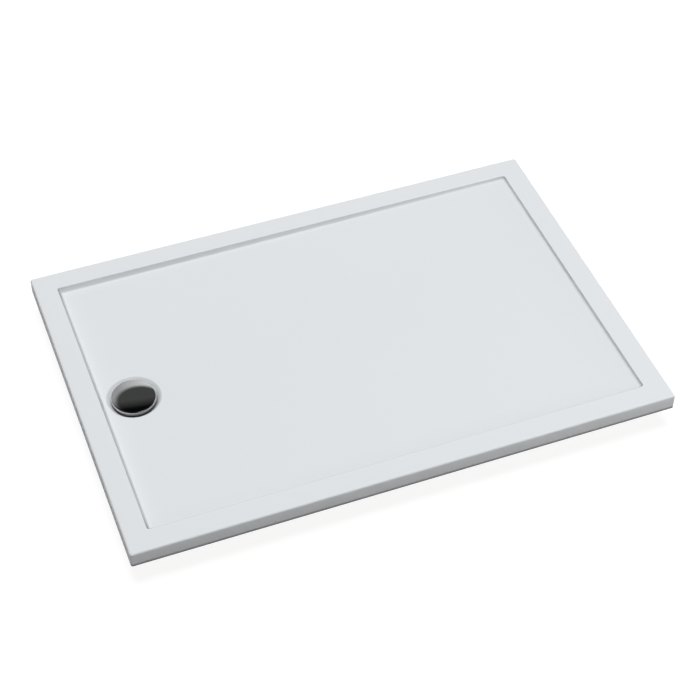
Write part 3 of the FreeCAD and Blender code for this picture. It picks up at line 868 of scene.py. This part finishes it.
def squareTree():
    # a copy of a piece on each corner of a square
    inputs = [("Piece", "NodeSocketObject"), ("Spacing", "NodeSocketFloat"),
              ("Material", "NodeSocketMaterial")]
    tree, start, end = patternTree("squarePattern", inputs)
    grid = tree.nodes.new("GeometryNodeMeshGrid")
    grid.inputs["Vertices X"].default_value = 2
    grid.inputs["Vertices Y"].default_value = 2
    tree.links.new(start.outputs["Spacing"], grid.inputs["Size X"])
    tree.links.new(start.outputs["Spacing"], grid.inputs["Size Y"])
    copies = instanceOn(tree, start, grid.outputs["Mesh"])
    return endTree(tree, start, end, copies.outputs["Instances"])


def grownMesh(name, tree, values):
    carrier = bpy.data.objects.new(name, bpy.data.meshes.new(name))
    bpy.context.scene.collection.objects.link(carrier)
    modifier = carrier.modifiers.new("shape", "NODES")
    modifier.node_group = tree
    for socket in tree.interface.items_tree:
        if socket.in_out == "INPUT":
            modifier[socket.identifier] = values[socket.name]
    graph = bpy.context.evaluated_depsgraph_get()
    mesh = bpy.data.meshes.new_from_object(carrier.evaluated_get(graph))
    bpy.data.objects.remove(carrier)
    return mesh


def joinedObject(name, parts):
    # parts are (mesh, shift) pairs
    bm = bmesh.new()
    for mesh, shift in parts:
        known = len(bm.verts)
        bm.from_mesh(mesh)
        bm.verts.ensure_lookup_table()
        for vertex in bm.verts[known:]:
            vertex.co += Vector(shift)
    return meshObject(name, bm)


def takeMesh(piece):
    mesh = piece.data
    bpy.data.objects.remove(piece)
    return mesh


threadedRod = threadTree()
ringPattern = ringTree()
squarePattern = squareTree()


# Feet: threaded studs, lock nuts, plate screws, pads and soles

foot = {
    "studRadius": 6 * mm,
    "baseRadius": 8.5 * mm,
    "baseThickness": 4 * mm,
    "wrenchLow": 14 * mm,
    "wrenchHeight": 6 * mm,
    "wrenchFlats": 17 * mm,
    "pitch": 1.75 * mm,
    "threadDepth": 0.95 * mm,
    "chamfer": 1.2 * mm,
    "ringsPerTurn": 8,
    "sides": 40,
    "neckOverlap": 1 * mm,
    "neckSegments": 48,
    "softness": 0.5 * mm,
    "nutFlats": 18 * mm,
    "bore": 6.05 * mm,
    "hexSegments": 72,
    "hexFace": 0.475,
    "hexEdge": 0.06,
    "hexEdgeSteps": 4,
    "sharpAngle": 35,
}


def sixSided(angle, flats):
    # how far out a hexagon reaches at an angle
    return flats / 2 / math.cos(angle % math.radians(60) - math.radians(30))


def hexRing(bm, height, flats, limit):
    segments = foot["hexSegments"]
    return turnedRing(bm, origin, height, segments, lambda angle: min(sixSided(angle, flats), limit))


def hexRings(bm, low, high, flats, softness):
    # outline rings of a hexagon whose corners are chamfered at both ends
    steps = foot["hexEdgeSteps"]
    depths = [softness * step / steps for step in range(steps + 1)]
    levels = [(low + depth, depth) for depth in depths]
    levels += [(high - depth, depth) for depth in reversed(depths)]
    return [hexRing(bm, height, flats, foot["hexFace"] * flats + depth / math.tan(math.radians(30)))
            for height, depth in levels]


def hexMesh(name, low, high, flats, bore):
    bm = bmesh.new()
    rings = hexRings(bm, low, high, flats, foot["hexEdge"] * flats)
    for height in (high, low):
        if bore:
            rings.append(turnedRing(bm, origin, height, foot["hexSegments"], lambda angle: bore))
        else:
            rings.append([bm.verts.new((0, 0, height))])
    bridgeRings(bm, rings, True)
    return takeMesh(meshObject(name, bm))


def studMesh(low, high):
    wrenchTop = foot["wrenchLow"] + foot["wrenchHeight"]
    length = high - wrenchTop
    values = {"Radius": foot["studRadius"], "Length": length, "Pitch": foot["pitch"],
              "Depth": foot["threadDepth"], "Chamfer": foot["chamfer"], "Sides": foot["sides"],
              "Rings": round(length / foot["pitch"] * foot["ringsPerTurn"]),
              "Material": materials["zinc_steel"]}
    thread = grownMesh("thread", threadedRod, values)
    baseTop = low + foot["baseThickness"]
    neckTop = wrenchTop - foot["neckOverlap"]
    base = [(0, low), (foot["baseRadius"], low), (foot["baseRadius"], baseTop),
            (foot["studRadius"], baseTop), (foot["studRadius"], neckTop), (0, neckTop)]
    neck = takeMesh(latheObject("neck", softened(base, foot["softness"]), origin, foot["neckSegments"]))
    wrench = hexMesh("wrench", foot["wrenchLow"], wrenchTop, foot["wrenchFlats"], 0.0)
    parts = [(thread, (0, 0, (high + wrenchTop) / 2)), (neck, (0, 0, 0)), (wrench, (0, 0, 0))]
    return takeMesh(joinedObject("stud", parts))


pad = {
    "radius": 25 * mm,
    "low": 1.5 * mm,
    "rimHeight": 4 * mm,
    "socketRadius": 8.8 * mm,
    "neckRadius": 12.8 * mm,
    "coneTop": 8.4 * mm,
    "soleRecess": 22.05 * mm,
    "soleTop": 3 * mm,
    "socketFloor": 5.7 * mm,
    "socketRoof": 10.3 * mm,
    "mouthRadius": 6.3 * mm,
    "ribCount": 12,
    "ribWidth": 1.6 * mm,
    "ribReach": (12.3 * mm, 22.8 * mm),
    "ribShoulder": 3 * mm,
    "ribLow": 4 * mm,
    "ribEnd": 6.4 * mm,
    "ribTop": 11.6 * mm,
    "softness": 0.5 * mm,
    "segments": 96,
}


def padMesh(high):
    profile = [(0, pad["soleTop"]), (pad["soleRecess"], pad["soleTop"]), (pad["soleRecess"], pad["low"]),
               (pad["radius"], pad["low"]), (pad["radius"], pad["low"] + pad["rimHeight"]),
               (pad["neckRadius"], pad["coneTop"]), (pad["neckRadius"], high), (pad["mouthRadius"], high),
               (pad["mouthRadius"], pad["socketRoof"]), (pad["socketRadius"], pad["socketRoof"]),
               (pad["socketRadius"], pad["socketFloor"]), (0, pad["socketFloor"])]
    disc = takeMesh(latheObject("disc", softened(profile, pad["softness"]), origin, pad["segments"]))
    bm = bmesh.new()
    half = pad["ribWidth"] / 2
    inner, outer = pad["ribReach"]
    edge = [(inner, pad["ribLow"]), (outer, pad["ribLow"]), (outer, pad["ribEnd"]),
            (inner + pad["ribShoulder"], pad["ribTop"]), (inner, pad["ribTop"])]
    rings = [[bm.verts.new((x, side, z)) for x, z in edge] for side in (-half, half)]
    bridgeRings(bm, rings, False)
    bm.faces.new(rings[0])
    bm.faces.new(list(reversed(rings[1])))
    rib = meshObject("rib", bm)
    values = {"Piece": rib, "Count": pad["ribCount"], "Material": materials["foot_plastic"]}
    ribs = grownMesh("ribs", ringPattern, values)
    bpy.data.objects.remove(rib)
    return takeMesh(joinedObject("pad", [(disc, (0, 0, 0)), (ribs, (0, 0, 0))]))


sole = {
    "grooves": 3,
    "grooveWidth": 2.2 * mm,
    "grooveDepth": 0.9 * mm,
    "firstGroove": 5 * mm,
    "spacing": 5.2 * mm,
    "softness": 0.35 * mm,
    "segments": 96,
}


def soleMesh(radius, high):
    profile = [(0, 0)]
    for index in range(sole["grooves"]):
        start = sole["firstGroove"] + index * sole["spacing"]
        end = start + sole["grooveWidth"]
        profile += [(start, 0), (start, sole["grooveDepth"]), (end, sole["grooveDepth"]), (end, 0)]
    profile += [(radius, 0), (radius, high), (0, high)]
    return takeMesh(latheObject("sole", softened(profile, sole["softness"]), origin, sole["segments"]))


screw = {
    "headRadius": 4 * mm,
    "headHeight": 2.4 * mm,
    "shankRadius": 2 * mm,
    "socketFlats": 3.2 * mm,
    "socketDepth": 1.4 * mm,
    "headRound": 1.6 * mm,
    "headSide": 0.4 * mm,
    "roundSteps": 4,
    "point": 3 * mm,
    "segments": 36,
    "spacing": 46 * mm,
}


def screwPiece(low, high):
    # a pan head facing down, with a six-sided socket, on a plain shank
    bm = bmesh.new()
    under = low + screw["headHeight"]
    socketTop = low + screw["socketDepth"]
    radius, rounding = screw["headRadius"], screw["headRound"]
    outline = [(radius - rounding, low)]
    for step in range(screw["roundSteps"] + 1):
        turn = math.radians(90) * step / screw["roundSteps"]
        reach = radius - rounding * (1 - math.sin(turn))
        outline.append((reach, under - screw["headSide"] - rounding * math.cos(turn)))
    shank, segments = screw["shankRadius"], screw["segments"]
    outline += [(radius, under), (shank, under), (shank, high - screw["point"])]
    rings = [[bm.verts.new((0, 0, socketTop))]]
    flats = screw["socketFlats"]
    for height in (socketTop, low):
        rings.append(turnedRing(bm, origin, height, segments, lambda angle: sixSided(angle, flats)))
    for reach, height in outline:
        rings.append(turnedRing(bm, origin, height, segments, lambda angle: reach))
    rings.append([bm.verts.new((0, 0, high))])
    bridgeRings(bm, rings, False)
    return meshObject("screw", bm)


footPlaces = [name.removeprefix("foot_stud_") for name in nodes if name.startswith("foot_stud_")]


def dressFeet():
    screwLow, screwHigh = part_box("foot_plate_screws")
    nutLow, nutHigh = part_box("foot_lock_nuts")
    single = screwPiece(screwLow.z, screwHigh.z)
    values = {"Piece": single, "Spacing": screw["spacing"], "Material": materials["zinc_steel"]}
    fourScrews = grownMesh("fourScrews", squarePattern, values)
    bpy.data.objects.remove(single)
    nut = hexMesh("nut", nutLow.z, nutHigh.z, foot["nutFlats"], foot["bore"])
    screwParts, nutParts = [], []
    for place in footPlaces:
        low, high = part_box("foot_stud_" + place)
        middle = middleOf("foot_stud_" + place)
        spot = (middle.x, middle.y, 0)
        screwParts.append((fourScrews, spot))
        nutParts.append((nut, spot))
        soleLow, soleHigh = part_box("foot_sole_" + place)
        soleRadius = (soleHigh.x - soleLow.x) / 2
        dressed = [("stud", studMesh(low.z, high.z), "stud_", "zinc_steel"),
                   ("pad", padMesh(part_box("foot_pad_" + place)[1].z), "pad_", "foot_plastic"),
                   ("sole", soleMesh(soleRadius, soleHigh.z), "pad_", "sole_rubber")]
        for kind, mesh, body, slot in dressed:
            piece = joinedObject(kind + place.title().replace("_", ""), [(mesh, spot)])
            smoothAbove(piece, foot["sharpAngle"])
            finishPiece(piece, body + place, slot, materials[slot], "foot_" + kind + "_" + place)
    shared = [("plateScrews", screwParts, "foot_plate_screws"), ("lockNuts", nutParts, "foot_lock_nuts")]
    for name, parts, node in shared:
        piece = joinedObject(name, parts)
        smoothAbove(piece, foot["sharpAngle"])
        finishPiece(piece, "tray", "zinc_steel", materials["zinc_steel"], node)


dressFeet()
print("feet dressed:", len(footPlaces))


# Studio: pale floor, soft light, white surroundings and the photograph's camera

studio = {
    "cameraPlace": (-1.0170, -2.7557, 3.1325),
    "cameraForward": (0.2427, 0.6459, -0.7238),
    "lens": 91.43,
    "clipEnd": 100.0,
    "floorSize": 60.0,
    "floorDrop": 0.1 * mm,
    "floorGlow": 0.90,
    "floorShade": 0.18,
    "floorBounce": 0.59,
    "skyColour": (0.96, 0.98, 1.0),
    "skyStrength": 0.02,
    "mirrorSky": (0.45, 1.2),
    "mirrorAcross": (0.0, 0.5),
    "mirrorLow": 0.08,
    "mirrorHeight": (math.sin(math.radians(14)), math.sin(math.radians(26))),
    "mirrorFront": 0.25,
    "mirrorDepth": (-0.2, 0.2),
    "mirrorPanel": 0.078,
    "panelElevation": math.radians(53.0),
    "panelAzimuth": math.radians(73.5),
    "panelEdge": (math.cos(math.radians(18.0)), math.cos(math.radians(14.5))),
    "spotAway": (0.195, -0.073, 0.978),
    "spotReach": (math.cos(math.radians(10)), math.cos(math.radians(5))),
    "mirrorSpot": 0.7,
    "blackAway": (0.16, 0.89, 0.43),
    "blackReach": (0.805, 0.888),
    "blackHeight": (0.5, 0.75),
    "blackShare": 0.05,
}

lamps = {
    "keyLamp": {"place": (0.3, 0.6, 14.0), "size": 7.0, "power": 1800.0},
    "frontLamp": {"place": (2.7, -2.6, 1.0), "size": 1.5, "power": 28.0},
    "backLamp": {"place": (0.6, 3.6, 0.8), "size": 1.5, "power": 12.0},
}


def studioFloor():
    bm = bmesh.new()
    half = studio["floorSize"] / 2
    corners = [(-half, -half), (half, -half), (half, half), (-half, half)]
    bm.faces.new([bm.verts.new((x, y, -studio["floorDrop"])) for x, y in corners])
    floor = meshObject("studioFloor", bm)
    material = bpy.data.materials.new("paleFloor")
    material.use_nodes = True
    tree = material.node_tree
    tree.nodes.clear()
    output = tree.nodes.new("ShaderNodeOutputMaterial")
    seen = tree.nodes.new("ShaderNodeAddShader")
    glow = tree.nodes.new("ShaderNodeEmission")
    glow.inputs["Strength"].default_value = studio["floorGlow"]
    shade = tree.nodes.new("ShaderNodeBsdfDiffuse")
    shade.inputs["Color"].default_value = (*[studio["floorShade"]] * 3, 1.0)
    bounce = tree.nodes.new("ShaderNodeBsdfDiffuse")
    bounce.inputs["Color"].default_value = (*[studio["floorBounce"]] * 3, 1.0)
    tree.links.new(glow.outputs["Emission"], seen.inputs[0])
    tree.links.new(shade.outputs["BSDF"], seen.inputs[1])
    paths = tree.nodes.new("ShaderNodeLightPath")
    either = treeMath(tree, "MAXIMUM", paths.outputs["Is Camera Ray"], paths.outputs["Is Glossy Ray"])
    either = treeMath(tree, "MAXIMUM", either, paths.outputs["Is Transmission Ray"])
    mix = tree.nodes.new("ShaderNodeMixShader")
    tree.links.new(either, mix.inputs["Fac"])
    tree.links.new(bounce.outputs["BSDF"], mix.inputs[1])
    tree.links.new(seen.outputs["Shader"], mix.inputs[2])
    tree.links.new(mix.outputs["Shader"], output.inputs["Surface"])
    floor.data.materials.append(material)


def towards(tree, direction, away, reach, low, high):
    # low away from a direction, high close to it, with the soft edge between the two cosines
    dot = tree.nodes.new("ShaderNodeVectorMath")
    dot.operation = "DOT_PRODUCT"
    dot.inputs[1].default_value = away
    tree.links.new(direction, dot.inputs[0])
    return addRange(tree, dot.outputs["Value"], low, high, *reach)


def mirrorStrength(tree):
    # what the chrome reflects: a sky brighter to one side, a grey panel, a black part and a spot
    direction = tree.nodes.new("ShaderNodeTexCoord").outputs["Generated"]
    split = tree.nodes.new("ShaderNodeSeparateXYZ")
    tree.links.new(direction, split.inputs["Vector"])
    around, high = studio["panelAzimuth"], studio["panelElevation"]
    away = (math.cos(high) * math.cos(around), math.cos(high) * math.sin(around), math.sin(high))
    across = addRange(tree, split.outputs["X"], *studio["mirrorSky"], *studio["mirrorAcross"])
    upper = addRange(tree, split.outputs["Z"], studio["mirrorLow"], across, *studio["mirrorHeight"])
    sky = addRange(tree, split.outputs["Y"], studio["mirrorFront"], upper, *studio["mirrorDepth"])
    panel = tree.nodes.new("ShaderNodeMix")
    inPanel = towards(tree, direction, away, studio["panelEdge"], 0.0, 1.0)
    tree.links.new(inPanel, panel.inputs["Factor"])
    tree.links.new(sky, panel.inputs["A"])
    panel.inputs["B"].default_value = studio["mirrorPanel"]
    black = studio["blackShare"]
    inBlack = towards(tree, direction, studio["blackAway"], studio["blackReach"], black, 1.0)
    lowDown = addRange(tree, split.outputs["Z"], 1.0, black, *studio["blackHeight"])
    share = treeMath(tree, "MAXIMUM", inBlack, lowDown)
    strength = treeMath(tree, "MULTIPLY", panel.outputs["Result"], share)
    spot = towards(tree, direction, studio["spotAway"], studio["spotReach"], 0.0, studio["mirrorSpot"])
    return treeMath(tree, "MAXIMUM", strength, spot)


def studioWorld():
    world = bpy.data.worlds.new("studioWorld")
    bpy.context.scene.world = world
    world.use_nodes = True
    tree = world.node_tree
    tree.nodes.clear()
    output = tree.nodes.new("ShaderNodeOutputWorld")
    mirrored = tree.nodes.new("ShaderNodeBackground")
    tree.links.new(mirrorStrength(tree), mirrored.inputs["Strength"])
    plain = tree.nodes.new("ShaderNodeBackground")
    plain.inputs["Color"].default_value = (*studio["skyColour"], 1.0)
    plain.inputs["Strength"].default_value = studio["skyStrength"]
    white = tree.nodes.new("ShaderNodeBackground")
    white.inputs["Color"].default_value = (1.0, 1.0, 1.0, 1.0)
    paths = tree.nodes.new("ShaderNodeLightPath")
    glossy = tree.nodes.new("ShaderNodeMixShader")
    tree.links.new(paths.outputs["Is Glossy Ray"], glossy.inputs["Fac"])
    tree.links.new(plain.outputs["Background"], glossy.inputs[1])
    tree.links.new(mirrored.outputs["Background"], glossy.inputs[2])
    camera = tree.nodes.new("ShaderNodeMixShader")
    seen = treeMath(tree, "MAXIMUM", paths.outputs["Is Camera Ray"], paths.outputs["Is Transmission Ray"])
    tree.links.new(seen, camera.inputs["Fac"])
    tree.links.new(glossy.outputs["Shader"], camera.inputs[1])
    tree.links.new(white.outputs["Background"], camera.inputs[2])
    tree.links.new(camera.outputs["Shader"], output.inputs["Surface"])


def studioLamp(name, place, size, power):
    # a square lamp aimed at the middle of the tray
    light = bpy.data.lights.new(name, "AREA")
    light.shape = "SQUARE"
    light.size = size
    light.energy = power
    lamp = bpy.data.objects.new(name, light)
    lamp.location = place
    lamp.rotation_mode = "QUATERNION"
    lamp.rotation_quaternion = (-Vector(place)).to_track_quat("-Z", "Y")
    lamp.visible_glossy = False
    bpy.context.scene.collection.objects.link(lamp)


def studioCamera():
    camera = bpy.data.objects.new("camera", bpy.data.cameras.new("camera"))
    camera.data.lens = studio["lens"]
    camera.data.clip_end = studio["clipEnd"]
    camera.location = studio["cameraPlace"]
    camera.rotation_mode = "QUATERNION"
    camera.rotation_quaternion = Vector(studio["cameraForward"]).to_track_quat("-Z", "Y")
    bpy.context.scene.collection.objects.link(camera)
    bpy.context.scene.camera = camera


studioFloor()
studioWorld()
for lampName, lampLook in lamps.items():
    studioLamp(lampName, **lampLook)
studioCamera()
bpy.context.scene.view_settings.view_transform = "Standard"
print("studio ready")
